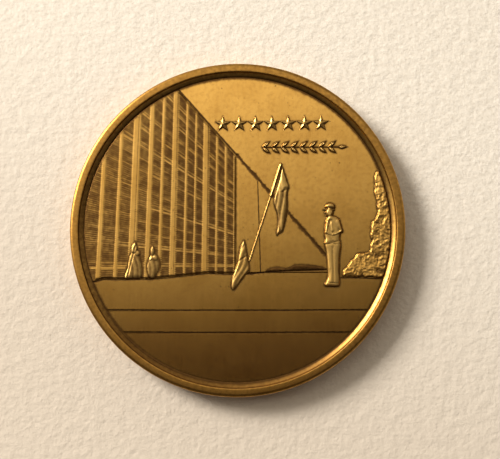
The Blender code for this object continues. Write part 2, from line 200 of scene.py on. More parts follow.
def hashed(cells, seed):
    """An even-spread number from 0 to 1 for each whole-number cell."""
    mixed = np.sin(cells * 12.9898 + seed * 78.233) * 43758.5453
    return mixed - np.floor(mixed)


def value_noise(p, cell, seed):
    """Smooth noise from 0 to 1 with features the size of a cell."""
    q = p / cell
    base = np.floor(q)
    f = q - base
    f = f * f * (3 - 2 * f)
    total = 0.0
    for i in (0, 1):
        for j in (0, 1):
            corner = hashed((base[:, 0] + i) * 57.0 + (base[:, 1] + j) * 131.0, seed)
            weight = np.where(i, f[:, 0], 1 - f[:, 0]) * np.where(j, f[:, 1], 1 - f[:, 1])
            total = total + corner * weight
    return total


def bell(away, width):
    """A bell curve: 1 where away is 0, and almost nothing at twice the width."""
    return np.exp(-((away / width) ** 2))


def scratch(p, a, b, width):
    """A bell curve across the straight line between a and b."""
    return bell(segment_distance(p, a, b), width)


def margin(depth, reach):
    """1 at an outline, fading to 0 at reach inside it."""
    return 1 - smooth(0.0, reach, depth)


def swell(depth, crown, roll, edge=0.3, draft=0.15):
    """Height of a struck device from its depth inside its outline: a steep side, then a rounded top."""
    side = smooth(-0.035, draft, depth)
    share = np.clip(depth / roll, 0.0, 1.0)
    dome = np.sqrt(np.maximum(0.0, 1 - (1 - share) ** 2))
    return SUNK + (crown * edge - SUNK) * side + crown * (1 - edge) * dome * side


def roof_height(x):
    """Where the wall's sloping roofline is, above x."""
    return ROOF_APEX[1] + ROOF_SLOPE * (x - ROOF_APEX[0])


# --- the obverse field

GROUND = (
    (-17.6, -6.7), (-16.9, -6.35), (-15.8, -6.05), (-13.5, -6.1), (-10.1, -6.05), (-7.3, -5.8),
    (-3.5, -5.38), (-0.5, -5.5), (1.7, -5.45), (3.6, -5.2), (6.05, -5.1), (10.5, -4.98),
)
SHRUB_LINE = ((12.2, -5.95), (14.2, -5.95), (16.0, -6.05), (17.2, -6.1))
ROOF_LINE = (ROOF_APEX, (0.0, roof_height(0.0)), (10.6, roof_height(10.6)))
JOINT_LINE = ((2.45, 5.6), (2.78, -5.2))
STEP_LEVELS = (-9.7, -12.3)


def step_line(level):
    """One of the level lines that cross the ground, from rim to rim."""
    reach = math.sqrt(FIELD_RADIUS**2 - level**2) - 0.12
    return ((-reach, level + 0.08), (-6.0, level), (5.0, level - 0.03), (reach, level + 0.03))


# Line, width, depth and raggedness of each groove in the obverse field
GROOVES = (
    (GROUND, 0.27, 0.008, 0.3),
    (SHRUB_LINE, 0.20, 0.006, 0.3),
    (ROOF_LINE[:2], 0.24, 0.014, 0.3),
    (ROOF_LINE[1:], 0.44, 0.010, 0.9),
    (JOINT_LINE, 0.15, 0.003, 0.3),
    *((step_line(level), 0.18, 0.005, 0.4) for level in STEP_LEVELS),
)


def obverse_ground(p):
    """The field with its grooves: height, and how much dark antiquing lies in them."""
    x, y = p.T
    end_wall = smooth(-0.06, 0.06, roof_height(x) - y) * smooth(-5.3, -5.2, y) * smooth(WALL_END, 0.2, x)
    h = 0.012 * end_wall * (x < 11.5)
    for level in STEP_LEVELS:
        h = h - 0.008 * smooth(0.1, -0.1, y - level)
    dark = np.zeros(len(p))
    for line, width, depth, ragged in GROOVES:
        near = within(p, box_around(line, 1.0))
        away = line_distance(p[near], line)
        wander = 1 + ragged * (value_noise(p[near], 0.45, 3.0) + 0.6 * value_noise(p[near], 0.16, 5.0) - 0.8)
        h[near] -= depth * (1 - smooth(0.0, width / 2 * wander, away))
        dark[near] = np.maximum(dark[near], 0.92 * np.exp(-((away / (width * 0.6 * wander)) ** 2.5)))
    return h, dark


# --- the obverse devices

def courses(p, middle):
    """The count of fine engraved courses below each point, in a column about middle."""
    along = (p[:, 0] - middle) / (VANISH[0] - middle)
    return (p[:, 1] - along * VANISH[1]) / (1 - along) / COURSE


def long_lines(p):
    """Bright lines that run on across the whole wall to the vanishing point, some of them doubled."""
    x, y = p.T
    reach = VANISH[0] - x
    slope = (y - VANISH[1]) / reach
    found = np.zeros(len(p))
    for n in range(-2, 15):
        own = 0.078 * n + 0.03 * hashed(n, 4.0)
        shine = 0.35 + 0.65 * hashed(n, 6.0)
        found = np.maximum(found, shine * bell((slope - own) * reach, 0.085))
        twin = own + 0.013 + 0.01 * hashed(n, 7.0)
        found = np.maximum(found, (shine - 0.3) * bell((slope - twin) * reach, 0.07))
    patchy = smooth(0.15, 0.6, value_noise(p, 1.6, 9.0))
    return found * (0.25 + 0.75 * patchy) * smooth(-17.5, -8.0, x + 3.0 * patchy)


def column_edge(x, y):
    """Where the upright edge that passes x at LEAN_LEVEL is at height y."""
    return x + LEAN_RATE * abs(x) * (y - LEAN_LEVEL)


def column_share(p):
    """How far each point is into a sunk column, how stained it is, and the count of courses there."""
    x, y = p.T
    share = np.zeros(len(p))
    stain = np.zeros(len(p))
    phase = np.zeros(len(p))
    for i, (left, right) in enumerate(COLUMNS):
        left_edge = column_edge(left, y)
        right_edge = column_edge(right, y)
        near = (x > left_edge - 0.3) & (x < right_edge + 0.3)
        own_phase = courses(p[near], (left + right) / 2) + COURSE_SHIFT * i
        notch = 0.09 * np.sin(own_phase * math.tau)
        depth = np.minimum(x - left_edge, right_edge - x)[near] + 0.06
        here = smooth(-0.08, 0.08, depth)
        wins = here > share[near]
        spots = np.flatnonzero(near)[wins]
        share[spots] = here[wins]
        stain[spots] = smooth(-0.06, 0.07, depth + notch)[wins]
        phase[spots] = own_phase[wins] + 1000.0 * i
    return share, stain, phase


def wall_outline():
    """The engraved wall: along the rim, down the roofline, and back along the ground."""
    start = math.atan2(16.78, -7.05)
    stop = math.atan2(-6.25, -17.15) + math.tau
    foot = [(-15.8, -5.97), (-13.5, -6.02), (-10.1, -5.97), (-7.3, -5.72), (-3.5, -5.3), (WALL_END, -5.42)]
    return arc(start, stop, 90) + foot + [(WALL_END, roof_height(WALL_END) - 0.15), (-7.03, 16.6)]


def wall_panels(p):
    """The wall's plate with its sunk columns and their courses."""
    x, y = p.T
    depth = polygon_depth(p, wall_outline())
    share, stain, phase = column_share(p)
    left_side = smooth(-5.0, -13.0, x)
    band = value_noise(np.c_[(y - VANISH[1]) / (VANISH[0] - x) * 24.0, x * 0.12], 1.0, 12.0)
    strength = (0.25 + 0.75 * hashed(np.floor(phase), 1.0)) * (0.35 + 0.65 * left_side) * (0.45 + 0.9 * band)
    ridge = np.sin(phase * math.tau)
    plinth = smooth(0.16, 0.08, np.abs(y + 4.7)) * smooth(-13.1, -13.4, x)
    lines = np.maximum(long_lines(p), plinth)
    grit = value_noise(p, 0.14, 5.0) - 0.5
    sunk = share * (-COLUMN_SINK + 0.0038 * ridge * strength + 0.003 * grit + 0.006 * lines)
    cuts = np.zeros(len(p))
    for bar in BAR_LINES:
        cuts = np.maximum(cuts, bell(x - column_edge(bar, y), 0.08))
    by_rim = smooth(FIELD_RADIUS - 0.6, FIELD_RADIUS - 0.35, length_of(p))
    lip = np.maximum(smooth(0.0, 0.25, depth), by_rim * smooth(-EDGE_GAP, 0.0, depth))
    body = (WALL_RISE + sunk - 0.004 * cuts) * lip + 0.02 * (1 - lip)
    h = np.where(depth > -EDGE_GAP, body, SUNK)
    clouds = value_noise(p, 0.5, 8.0) - 0.5
    patina = 0.86 - 0.06 * left_side - 0.40 * np.maximum(ridge, 0) * strength - 0.75 * lines + 0.16 * clouds
    patina = np.maximum(stain * patina, 0.8 * cuts)
    return depth, h, np.clip(np.maximum(patina, 0.6 * margin(depth, 0.09)), 0, 1)


GUARD_CAP = curve([
    (10.42, 2.4), (10.5, 2.78), (10.85, 3.02), (11.3, 3.0), (11.6, 2.7), (11.58, 2.3), (11.0, 2.22),
])
GUARD_COAT = curve([
    (10.78, 1.38), (10.5, 0.95), (10.32, 0.1), (10.28, -0.8), (10.36, -1.3), (10.3, -1.95), (11.3, -2.02),
    (12.26, -1.9), (12.2, -1.25), (12.32, -0.2), (12.25, 0.85), (11.85, 1.3), (11.4, 1.48),
])
GUARD_TROUSERS = curve([
    (10.42, -1.7), (10.5, -3.0), (10.62, -4.6), (10.64, -5.7), (10.5, -6.25), (10.26, -6.6), (10.4, -6.93),
    (11.2, -6.98), (12.0, -6.95), (12.15, -6.3), (12.1, -5.0), (12.15, -3.4), (12.22, -1.7),
])


def merge(parts, reach):
    """Rounded union of several (depth, height) pairs."""
    depth, h = parts[0]
    for other_depth, other_h in parts[1:]:
        depth = np.maximum(depth, other_depth)
        higher = np.maximum(h, other_h)
        fillet = smooth_max(h, other_h, reach) - higher
        h = higher + fillet * smooth(SUNK, -SUNK, higher)
    return depth, h


def part(depth, crown, roll, edge=0.3):
    """One rounded part of a figure."""
    return depth, swell(depth, crown, roll, edge)


def worn(device, reach):
    """A device with its relief rubbed soft over a short reach."""
    turns = np.arange(6) * math.pi / 3
    offsets = reach * np.c_[np.cos(turns), np.sin(turns)]

    def softened(p):
        depth, h, patina = device(p)
        total = 2 * h
        for offset in offsets:
            total = total + device(p + offset)[1]
        return depth, total / (len(offsets) + 2), patina

    return softened


def standing_guard(p):
    """The guard from behind, head turned a little to the left, hands clasped at the back."""
    x, y = p.T
    coat = polygon_depth(p, GUARD_COAT)
    legs = polygon_depth(p, GUARD_TROUSERS)
    parts = [
        part(coat, 0.27, 0.6),
        part(legs, 0.25, 0.6),
        part(bar_depth(p, (11.0, 1.5), (11.05, 1.15), 0.62, 0.7), 0.27, 0.3),
        part(oval_depth(p, (10.95, 1.85), 0.5, 0.56), 0.30, 0.4),
        part(oval_depth(p, (10.45, 1.80), 0.13, 0.1), 0.32, 0.1),
        part(oval_depth(p, (10.62, 1.48), 0.16, 0.12), 0.32, 0.12),
        part(bar_depth(p, (11.9, 0.75), (12.3, -0.35), 0.66, 0.5), 0.29, 0.33),
        part(bar_depth(p, (11.1, 0.95), (11.3, -0.35), 0.36, 0.46), 0.29, 0.25),
        part(bar_depth(p, (12.34, -0.4), (11.6, -0.78), 0.42, 0.34), 0.29, 0.22),
        part(bar_depth(p, (10.72, 0.75), (10.5, -0.6), 0.56, 0.44), 0.31, 0.3),
        part(bar_depth(p, (10.5, -0.55), (11.1, -0.8), 0.4, 0.32), 0.29, 0.2),
        part(oval_depth(p, (11.35, -0.8), 0.32, 0.2), 0.31, 0.18),
        part(polygon_depth(p, GUARD_CAP), 0.36, 0.4),
        part(bar_depth(p, (10.2, 2.14), (11.5, 2.16), 0.14, 0.24), 0.33, 0.1),
    ]
    depth, h = merge(parts, 0.12)
    hollow = smooth(0.0, 0.25, oval_depth(p, (10.98, 0.75), 0.3, 0.42, -15))
    crease = scratch(p, (11.3, -2.3), (11.38, -6.4), 0.10)
    tuck = scratch(p, (10.98, -4.9), (10.82, -6.4), 0.07)
    hem = scratch(p, (10.4, -2.02), (12.2, -1.5), 0.06) * smooth(0.0, 0.1, coat)
    sole = scratch(p, (10.3, -6.5), (12.1, -6.55), 0.06)
    folds = 0.012 * np.sin(8.0 * x + 5.0 * y) * smooth(0.05, 0.3, coat)
    h = h - 0.045 * hollow - 0.02 * crease - 0.02 * tuck - 0.02 * hem - 0.03 * sole + folds
    patina = 0.18 + 0.75 * margin(depth, 0.14) + 0.45 * hollow + 0.15 * crease + 0.3 * tuck
    return depth, h, np.clip(patina + 0.4 * hem + 0.35 * sole, 0, 1)


LEFT_CLOAK = curve([
    (-12.35, -2.6), (-11.75, -2.75), (-11.35, -3.4), (-11.15, -4.6), (-11.22, -5.85), (-12.3, -6.0),
    (-13.38, -5.95), (-13.05, -4.6), (-12.85, -3.3),
])
LEFT_HOOD = curve([
    (-12.1, -1.48), (-11.85, -1.85), (-11.72, -2.45), (-12.0, -3.0), (-12.55, -2.95), (-12.6, -2.3),
])
RIGHT_CLOAK = curve([
    (-10.25, -3.0), (-9.7, -2.95), (-9.2, -3.5), (-9.0, -4.4), (-9.3, -5.35), (-9.75, -5.95),
    (-10.35, -5.92), (-10.68, -5.2), (-10.72, -4.2),
])
RIGHT_HOOD = curve([
    (-10.0, -1.92), (-9.78, -2.2), (-9.62, -2.8), (-9.85, -3.3), (-10.25, -3.2), (-10.33, -2.5),
])


def draped(p, hood, cloak, lumps, lean):
    """A small cloaked figure from behind: a pointed hood, rounded shoulders, and a cloak with soft folds."""
    x, y = p.T
    cloak_depth = polygon_depth(p, cloak)
    hood_depth = polygon_depth(p, hood)
    parts = [part(cloak_depth, 0.22, 0.6), part(hood_depth, 0.26, 0.3)]
    for centre, half_width, half_height, turn in lumps:
        parts.append(part(oval_depth(p, centre, half_width, half_height, turn), 0.25, 0.35))
    depth, h = merge(parts, 0.10)
    folds = np.sin((x - lean * y) * 10.5 + 1.2 * np.sin(1.7 * y))
    strength = smooth(0.02, 0.2, cloak_depth) * smooth(-3.0, -3.8, y)
    h = h + 0.006 * folds * strength
    patina = 0.75 * margin(depth, 0.16) + 0.2 * strength * smooth(0.4, -0.8, folds)
    return depth, h, np.clip(patina + 0.5, 0, 1)


def draped_visitor_left(p):
    """The taller visitor, with a straight fold of cloth from the hood to the ground on the left."""
    lumps = [((-12.15, -2.7), 0.28, 0.4, 0), ((-11.78, -2.95), 0.42, 0.45, 20)]
    depth, h, patina = draped(p, LEFT_HOOD, LEFT_CLOAK, lumps, -0.18)
    fold = bar_depth(p, (-12.12, -1.45), (-13.2, -5.8), 0.12, 0.18)
    beside = scratch(p, (-12.0, -2.0), (-12.98, -5.9), 0.07)
    depth, h = merge([(depth, h - 0.04 * beside), part(fold, 0.28, 0.09)], 0.03)
    patina = np.where(fold > 0, 0.05, np.maximum(patina, 0.7 * beside))
    return depth, h, patina


def draped_visitor_right(p):
    """The shorter visitor, arms folded under the cloak."""
    lumps = [((-10.0, -2.75), 0.27, 0.4, 0), ((-10.15, -3.6), 0.52, 0.22, 35), ((-9.65, -3.5), 0.4, 0.45, 0)]
    return draped(p, RIGHT_HOOD, RIGHT_CLOAK, lumps, -0.12)


def flag_pole(p):
    """The pole: a bright thicker length above, a thin one below."""
    upper = bar_depth(p, (4.02, 3.85), (5.2, 7.6), 0.34, 0.38)
    lower = bar_depth(p, (1.45, -3.9), (4.05, 4.0), 0.18, 0.20)
    parts = [(upper, swell(upper, 0.30, 0.19, 0.2, 0.06)), (lower, swell(lower, 0.13, 0.1, 0.2, 0.05))]
    depth, h = merge(parts, 0.03)
    return depth, h, 0.25 * margin(depth, 0.05) + 0.35 * (lower > upper)


HANGING_FLAG = curve([
    (5.38, 7.45), (5.72, 6.55), (6.02, 5.6), (6.22, 4.95), (6.02, 4.2), (6.02, 3.0), (5.98, 1.9),
    (5.72, 0.6), (5.42, -0.45), (5.0, -0.7), (4.76, -0.95), (4.62, -0.6), (4.78, 0.4), (4.74, 1.6),
    (4.4, 2.6), (4.3, 3.3), (4.5, 4.2), (4.85, 5.4), (5.12, 6.6),
], 3)
LEANING_FLAG = curve([
    (0.85, -1.35), (1.08, -2.0), (1.3, -3.3), (1.48, -4.3), (1.5, -5.1), (1.0, -5.6), (0.35, -6.5),
    (-0.38, -7.38), (-0.7, -7.0), (-0.66, -6.0), (-0.3, -5.0), (0.0, -4.1), (0.2, -2.9), (0.5, -1.85),
], 3)


def hanging_flag(p):
    """The upper flag: a triangle of cloth at the top, hanging in long folds below it."""
    x, y = p.T
    depth = polygon_depth(p, HANGING_FLAG)
    h = swell(depth, 0.19, 0.5)
    sway = x - 0.05 * y + 0.16 * np.sin(0.9 * y + 0.6)
    folds = np.sin(sway * 9.5) * smooth(4.9, 4.2, y)
    flap = polygon_depth(p, [(5.2, 7.0), (5.9, 5.4), (6.1, 4.9), (5.35, 4.25), (5.05, 5.6)])
    h = smooth_max(h, swell(flap, 0.22, 0.35), 0.06)
    tuck = scratch(p, (5.3, 4.3), (6.2, 4.75), 0.07)
    inner = smooth(0.02, 0.16, depth)
    h = h + 0.018 * folds * inner - 0.03 * tuck * inner
    patina = 0.7 * margin(depth, 0.15) + 0.3 * inner * smooth(0.1, -0.6, folds) * (y < 4.6) + 0.4 * tuck
    return depth, h, np.clip(patina + 0.22 * (y < 4.4) + 0.15, 0, 1)


def leaning_flag(p):
    """The lower flag, wrapped round the foot of the pole."""
    x, y = p.T
    depth = polygon_depth(p, LEANING_FLAG)
    h = swell(depth, 0.17, 0.5)
    sway = x * 0.9 - 0.42 * y + 0.12 * np.sin(1.7 * y)
    folds = np.sin(sway * 10.5 + 0.6)
    band = scratch(p, (0.05, -4.0), (1.25, -3.2), 0.08)
    inner = smooth(0.02, 0.16, depth)
    h = h + 0.014 * folds * inner - 0.03 * band * inner
    patina = 0.7 * margin(depth, 0.15) + 0.25 * inner * smooth(0.0, -0.7, folds) + 0.4 * band
    return depth, h, np.clip(patina + 0.3, 0, 1)


SHRUB_EDGE = (
    (16.95, 6.9), (16.5, 6.75), (16.22, 6.2), (16.3, 5.2), (16.2, 4.2), (16.45, 3.2), (16.4, 2.6),
    (16.6, 2.1), (16.4, 1.1), (15.85, 0.75), (15.75, 0.0), (15.7, -0.9), (15.9, -1.4), (15.68, -2.1),
    (15.6, -2.75), (14.9, -2.95), (14.2, -3.05), (13.6, -3.7), (12.9, -4.5), (12.38, -5.05), (12.4, -5.75),
    (14.0, -5.8), (17.0, -5.95),
)


def foliage(p, spacing, seed):
    """Soft, uneven lumps of foliage from 0 to 1: two sizes of noise folded at their middle."""
    bent = p + 0.5 * spacing * np.c_[value_noise(p, spacing, seed + 5.0), value_noise(p, spacing, seed + 6.0)]
    large = np.abs(2 * value_noise(bent, spacing, seed) - 1)
    small = np.abs(2 * value_noise(bent, spacing * 0.5, seed + 2.0) - 1)
    return np.clip(1 - 0.9 * large - 0.35 * small + 0.3 * value_noise(bent, 1.7 * spacing, seed + 3.0), 0, 1)


def shrub_depth(p):
    """Depth inside the shrubs: a ragged edge towards the field, and the rim beyond."""
    start = math.atan2(-5.95, 17.05)
    stop = math.atan2(6.9, 16.68)
    return polygon_depth(p, list(SHRUB_EDGE) + arc(start, stop, 24))


def shrubbery(p):
    """Rounded foliage against the rim."""
    depth = shrub_depth(p) + 0.16 * (value_noise(p, 0.42, 4.0) - 0.5)
    lumps = foliage(p, 0.62, 11.0)
    grit = value_noise(p, 0.17, 17.0)
    edge = smooth(-0.03, 0.2, depth)
    h = SUNK + (0.18 + 0.09 * lumps + 0.04 * grit) * edge
    patina = 0.70 * smooth(0.55, 0.05, lumps) + 0.3 * margin(depth, 0.2) + 0.22 * (grit - 0.5)
    return depth, h, np.clip(patina + 0.12, 0, 1)


HEDGE = curve([
    (3.55, -5.16), (3.75, -4.82), (4.2, -4.66), (4.8, -4.56), (5.3, -4.66), (5.75, -4.72), (6.2, -4.62),
    (6.8, -4.36), (7.6, -4.3), (8.6, -4.38), (9.6, -4.52), (10.3, -4.74), (10.3, -5.0), (6.0, -5.12),
], 2)


def hedge_strip(p):
    """Low scrub in front of the end wall."""
    depth = polygon_depth(p, HEDGE) + 0.05 * (value_noise(p, 0.16, 6.0) - 0.5)
    lumps = foliage(p, 0.4, 23.0)
    edge = smooth(-0.15, 0.25, depth)
    h = -0.032 + (0.038 + lumps * 0.014) * edge
    return depth, h, np.clip(1.0 - 0.2 * lumps, 0, 1)


# --- stars, sprigs and the wreath

def star_device(centre, radius, crown):
    """A raised star whose ridges run to its points."""
    inner = 0.42 * radius
    angles = [math.pi / 2 + math.pi * i / 5 for i in range(10)]
    reach = [inner if i % 2 else radius for i in range(10)]
    outline = [(centre[0] + r * math.cos(a), centre[1] + r * math.sin(a)) for a, r in zip(angles, reach)]
    width = inner * 0.82

    def device(p):
        depth = polygon_depth(p, outline)
        side = smooth(-0.03, 0.06, depth)
        roof = np.clip(depth / width, 0, 1)
        h = SUNK + (crown * 0.5 - SUNK) * side + crown * 0.5 * roof * side
        return depth, h, np.clip(0.85 * margin(depth, 0.13), 0, 1)

    return device


def leaf_outline(base, angle, length, width):
    """A pointed leaf."""
    half = (
        (0.0, 0.1), (0.1, 0.45), (0.25, 0.85), (0.42, 1.0), (0.6, 0.88), (0.8, 0.5), (0.92, 0.2), (1.0, 0.0),
    )
    c, s = math.cos(angle), math.sin(angle)
    upper = [(u * length, v * width / 2) for u, v in half]
    lower = [(u * length, -v * width / 2) for u, v in reversed(half[:-1])]
    return [(base[0] + u * c - v * s, base[1] + u * s + v * c) for u, v in upper + lower]


def branch_device(line, length, width, spread, stem, crown):
    """A leafy branch: a stem along a line, and veined leaves in pairs with one more at the tip."""
    leaves = []
    for a, b in zip(line, line[1:]):
        heading = math.atan2(b[1] - a[1], b[0] - a[0])
        for side in (1, -1):
            leaves.append((a, heading + side * spread))
    last = math.atan2(line[-1][1] - line[-2][1], line[-1][0] - line[-2][0])
    leaves.append((line[-1], last))

    def device(p):
        depth = stem / 2 - line_distance(p, line)
        h = swell(depth, crown * 0.62, stem * 0.5)
        mark = np.zeros(len(p))
        for base, angle in leaves:
            ahead = np.array((math.cos(angle), math.sin(angle)))
            near = length_of(p - (base + 0.5 * length * ahead)) < 0.75 * length
            inside = polygon_depth(p[near], leaf_outline(base, angle, length, width))
            along = (p[near] - base) @ ahead
            across = (p[near] - base) @ np.array((-ahead[1], ahead[0]))
            rib = bell(across, 0.05 * width + 0.015) * smooth(0, 0.12 * length, along)
            vein = np.sin((along - 0.8 * np.abs(across)) / length * 44.0) * smooth(0.0, 0.25 * width, inside)
            body = swell(inside, crown, width * 0.42)
            body = body - 0.16 * crown * rib + 0.035 * crown * vein
            deeper = body > h[near]
            mark[near] = np.where(deeper, 0.55 * rib, mark[near])
            h[near] = smooth_max(h[near], body, 0.02)
            depth[near] = np.maximum(depth[near], inside)
        patina = 0.85 * margin(depth, 0.13) + mark * (depth > 0)
        return depth, h, np.clip(patina, 0, 1)

    return device


def obverse_devices():
    """Name, function, mesh spacing and outer points of each obverse device, in the order of laying down."""
    found = [
        ("wall_panels", wall_panels, 0.0, wall_outline()),
        ("shrubbery", worn(shrubbery, 0.07), 0.06, SHRUB_EDGE + ((FIELD_RADIUS, 0.0),)),
        ("hedge_strip", worn(hedge_strip, 0.06), 0.05, HEDGE),
        ("draped_visitor_left", worn(draped_visitor_left, 0.08), 0.045, LEFT_CLOAK + LEFT_HOOD),
        ("draped_visitor_right", worn(draped_visitor_right, 0.08), 0.045, RIGHT_CLOAK + RIGHT_HOOD),
        ("flag_pole", flag_pole, 0.04, [(1.4, -4.0), (5.4, 7.8)]),
        ("hanging_flag", worn(hanging_flag, 0.09), 0.05, HANGING_FLAG),
        ("leaning_flag", worn(leaning_flag, 0.09), 0.05, LEANING_FLAG),
        ("standing_guard", worn(standing_guard, 0.09), 0.045, [(10.1, 3.1), (12.7, -7.1)]),
    ]
    for i in range(7):
        centre = (-1.7 + 1.95 * i, 12.55)
        reach = [(centre[0] - 1, centre[1] - 1), (centre[0] + 1, centre[1] + 1)]
        found.append((f"star_{i + 1}", star_device(centre, 0.98, 0.36), 0.06, reach))
    line = [(3.0 + 1.12 * i, 9.7) for i in range(9)]
    sprig = branch_device(line, 1.25, 0.5, math.radians(38), 0.17, 0.32)
    found.append(("laurel_sprig", sprig, 0.05, [(2.6, 8.7), (13.5, 10.7)]))
    return found


def reverse_devices():
    """The plain design of the reverse: two laurel branches and a star."""
    angles = np.radians(np.linspace(263.0, 113.0, 11))
    left = [(12.2 * math.cos(a), 12.2 * math.sin(a)) for a in angles]
    right = [(-x, y) for x, y in left]
    spread = math.radians(33)
    found = []
    for name, line in (("reverse_wreath_left", left), ("reverse_wreath_right", right)):
        device = branch_device(line, 3.9, 1.5, spread, 0.5, 0.36)
        reach = [(min(x for x, _ in line) - 3, -16.5), (max(x for x, _ in line) + 3.5, 16.5)]
        found.append((name, device, 0.085, reach))
    found.append(("reverse_star", star_device((0.0, 0.0), 5.2, 0.38), 0.12, [(-5.3, -5.3), (5.3, 5.3)]))
    return found


# --- one face of the coin

class Face:
    """The relief of one side: its ground, its devices, and what each point of it is."""

    def __init__(self, ground, devices):
        self.ground = ground
        self.devices = devices
        self.boxes = [box_around(reach, BOX_MARGIN) for _, _, _, reach in devices]

    def sample(self, p):
        """Height, owner, antiquing and distance to the nearest device at each point."""
        h, dark = self.ground(p)
        owner = np.full(len(p), -1)
        away = np.full(len(p), OUTSIDE)
        for i, (_, device, _, _) in enumerate(self.devices):
            near = within(p, self.boxes[i])
            if not len(near):
                continue
            depth, rise, patina = device(p[near])
            under = h[near]
            takes = rise > under
            h[near] = smooth_max(under, rise, BLEND)
            owner[near] = np.where(takes, i, owner[near])
            halo = np.clip(np.exp(depth / 0.15) * 0.8, 0, 0.85)
            dark[near] = np.where(takes, patina, np.maximum(dark[near], halo * (depth > -0.65)))
            away[near] = np.minimum(away[near], np.abs(np.minimum(depth, 0.0)))
        inside = FIELD_RADIUS - length_of(p)
        owner = np.where(inside < 0.04, -1, owner)
        dark = np.maximum(dark, 0.95 * bell(inside, 0.32))
        return h * smooth(0.0, 0.12, inside), owner, dark, away


def grid(low, high, spacing):
    """Points of a triangular grid over a box."""
    xs = np.arange(low[0], high[0] + spacing, spacing)
    ys = np.arange(low[1], high[1] + spacing, spacing * 0.866)
    gx, gy = np.meshgrid(xs, ys)
    gx = gx + (np.arange(len(ys)) % 2)[:, None] * spacing / 2
    return np.c_[gx.ravel(), gy.ravel()]


def wall_points():
    """Points of the wall: in each column along its courses, four to a course, so that each cut is sharp."""
    plain_wall = grid((-FIELD_RADIUS, GROUND[0][1]), (WALL_END + 0.1, ROOF_APEX[1]), 0.16)
    chosen = [plain_wall[column_share(plain_wall)[0] <= 0]]
    heights = np.arange(-7.0, 18.0, COURSE / 4)
    for i, (left, right) in enumerate(COLUMNS):
        middle = (left + right) / 2
        steps = math.ceil((right - left + 0.3) / 0.085)
        across = np.linspace(left - 0.15, right + 0.15, steps + 1)
        gx, gy = np.meshgrid(across, heights - COURSE_SHIFT * i * COURSE)
        gx = gx + LEAN_RATE * abs(middle) * (gy - LEAN_LEVEL)
        along = (gx - middle) / (VANISH[0] - middle)
        chosen.append(np.c_[gx.ravel(), (gy * (1 - along) + along * VANISH[1]).ravel()])
    return np.concatenate(chosen)


def face_points(face, grooves):
    """Mesh points for one face: fine on the devices and near their edges, coarse on the open field."""
    chosen = []
    for i, (name, _, spacing, _) in enumerate(face.devices):
        p = wall_points() if name == "wall_panels" else grid(*face.boxes[i], spacing)
        p = p[length_of(p) < FIELD_RADIUS - EDGE_GAP]
        chosen.append(p[face.sample(p)[1] == i])
    # Grid spacing of the open field, and the distances from a device or groove that it covers
    for spacing, near, far in ((0.07, -1.0, 0.22), (0.14, 0.22, 0.8), (0.35, 0.8, 99.0)):
        p = grid((-FIELD_RADIUS,) * 2, (FIELD_RADIUS,) * 2, spacing)
        p = p[length_of(p) < FIELD_RADIUS - 0.35 * spacing]
        _, owner, _, away = face.sample(p)
        for line, width, _, _ in grooves:
            away = np.minimum(away, np.maximum(0.0, line_distance(p, line) - 0.5 * width))
        away = np.minimum(away, np.maximum(0.0, FIELD_RADIUS - length_of(p) - 0.1))
        chosen.append(p[(owner < 0) & (away > near) & (away <= far)])
    ring = FIELD_RADIUS * np.c_[np.cos(RING_ANGLES), np.sin(RING_ANGLES)]
    return np.concatenate([ring] + chosen)


def triangulate(points):
    """Triangles over the points. The first RING_STEPS of them are the outer ring."""
    edges = [(i, (i + 1) % RING_STEPS) for i in range(RING_STEPS)]
    placed, _, faces, _, _, _ = delaunay_2d_cdt([Vector(p) for p in points], edges, [], 0, 1e-6)
    placed = np.array([tuple(v) for v in placed])
    faces = np.array([f for f in faces if len(f) == 3])
    a, b, c = (placed[faces[:, k]] for k in range(3))
    area = (b[:, 0] - a[:, 0]) * (c[:, 1] - a[:, 1]) - (b[:, 1] - a[:, 1]) * (c[:, 0] - a[:, 0])
    faces[area < 0] = faces[area < 0][:, ::-1]
    return placed, faces[np.abs(area) > 1e-9]


def slopes_to_normals(face, p):
    """Unit normals of the relief, from its slope."""
    step = 0.008
    right = face.sample(p + (step, 0))[0] - face.sample(p - (step, 0))[0]
    ahead = face.sample(p + (0, step))[0] - face.sample(p - (0, step))[0]
    n = np.c_[-right / (2 * step), -ahead / (2 * step), np.ones(len(p))]
    return n / length_of(n)[:, None]


# --- meshes

def open_edges(faces):
    """Directed sides that only one triangle uses."""
    sides = np.concatenate([faces[:, [0, 1]], faces[:, [1, 2]], faces[:, [2, 0]]])
    size = int(faces.max()) + 1
    code = sides[:, 0].astype(np.int64) * size + sides[:, 1]
    back = sides[:, 1].astype(np.int64) * size + sides[:, 0]
    return sides[~np.isin(code, back)]


class Shell:
    """A mesh being gathered: points with their normals, antiquing and painted shade, and faces."""

    def __init__(self):
        self.parts = []
        self.count = 0

    def add(self, points, normals, dark, faces):
        """Points with their faces, numbered from these points."""
        self.parts.append((points, normals, dark, np.asarray(faces) + self.count))
        self.count += len(points)

    def placed(self, level, flip):
        """Points, normals, antiquing with painted shade, and faces at their level, turned over for the
        reverse.
        """
        points, normals, dark, faces = (np.concatenate(found) for found in zip(*self.parts))
        way = (1, 1, -1.0 if flip else 1.0)
        return points * way + (0, 0, level), normals * way, dark, faces[:, ::-1] if flip else faces


